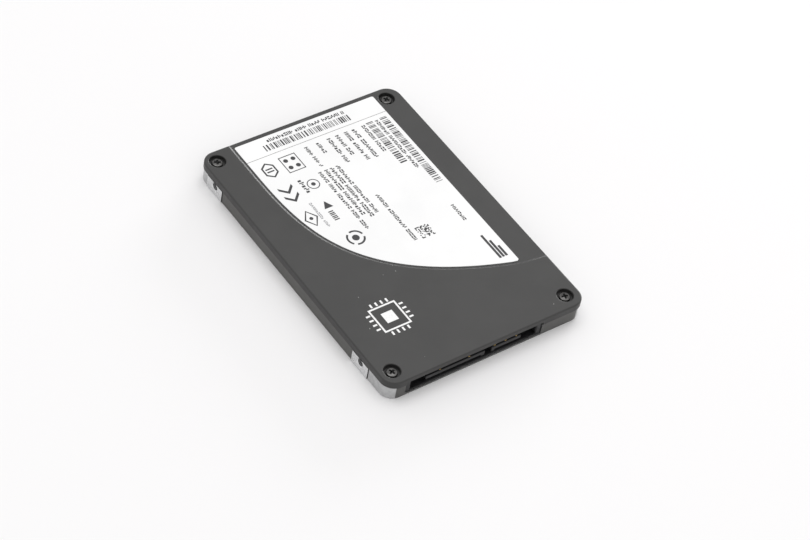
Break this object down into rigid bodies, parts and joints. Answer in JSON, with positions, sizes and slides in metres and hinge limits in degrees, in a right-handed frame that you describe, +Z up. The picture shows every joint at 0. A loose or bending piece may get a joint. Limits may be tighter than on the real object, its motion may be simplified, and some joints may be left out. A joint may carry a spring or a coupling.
{
  "type": "solid state drive",
  "caption": "Slim rectangular storage drive: dark two-level cover with a large curved-edge label, corner screws, aluminium base with tapped mounting holes, and a data and power plug in one end.",
  "frame": {"origin": "middle of the footprint, on the underside", "axes": "+Z up through the label; the connector end faces -Y; +X is to the right seen from the connector end with the label up"},
  "size_m": [0.0698, 0.1002, 0.007],
  "materials": {
    "cover_paint": "satin dark warm grey paint, fine texture",
    "label": "matte white printed polyester film",
    "black_steel": "black oxide",
    "aluminium": "fine cast and machined",
    "board": "solder mask",
    "film": "matte black film",
    "chip": "moulded epoxy",
    "black_plastic": "glass-filled moulded plastic",
    "gold": "gold plated",
    "thermal_pad": "soft silicone",
    "ferrite": "sintered ferrite",
    "tantalum": "moulded resin"
  },
  "bodies": {
    "root": {"base_shell": "aluminium", "top_cover": "cover_paint", "label": "label", "label_strip": "label", "circuit_board": "board", "insulating_film": "film", "flash_top_1": "chip", "flash_bottom_1": "chip", "flash_top_2": "chip", "flash_bottom_2": "chip", "flash_top_3": "chip", "flash_bottom_3": "chip", "flash_top_4": "chip", "flash_bottom_4": "chip", "flash_top_5": "chip", "flash_bottom_5": "chip", "flash_top_6": "chip", "flash_bottom_6": "chip", "flash_top_7": "chip", "flash_bottom_7": "chip", "flash_top_8": "chip", "flash_bottom_8": "chip", "flash_top_9": "chip", "flash_bottom_9": "chip", "flash_top_10": "chip", "flash_bottom_10": "chip", "controller": "chip", "power_inductor": "ferrite", "tantalum_capacitor": "tantalum", "crystal": "aluminium", "working_memory": "chip", "thermal_pad": "thermal_pad", "connector_housing": "black_plastic", "power_contact_1": "gold", "power_contact_2": "gold", "power_contact_3": "gold", "power_contact_4": "gold", "power_contact_5": "gold", "power_contact_6": "gold", "power_contact_7": "gold", "power_contact_8": "gold", "power_contact_9": "gold", "power_contact_10": "gold", "power_contact_11": "gold", "power_contact_12": "gold", "power_contact_13": "gold", "power_contact_14": "gold", "power_contact_15": "gold", "data_contact_1": "gold", "data_contact_2": "gold", "data_contact_3": "gold", "data_contact_4": "gold", "data_contact_5": "gold", "data_contact_6": "gold", "data_contact_7": "gold", "cover_screw_1": "black_steel", "cover_screw_2": "black_steel", "cover_screw_3": "black_steel", "cover_screw_4": "black_steel"}
  },
  "joints": []
}
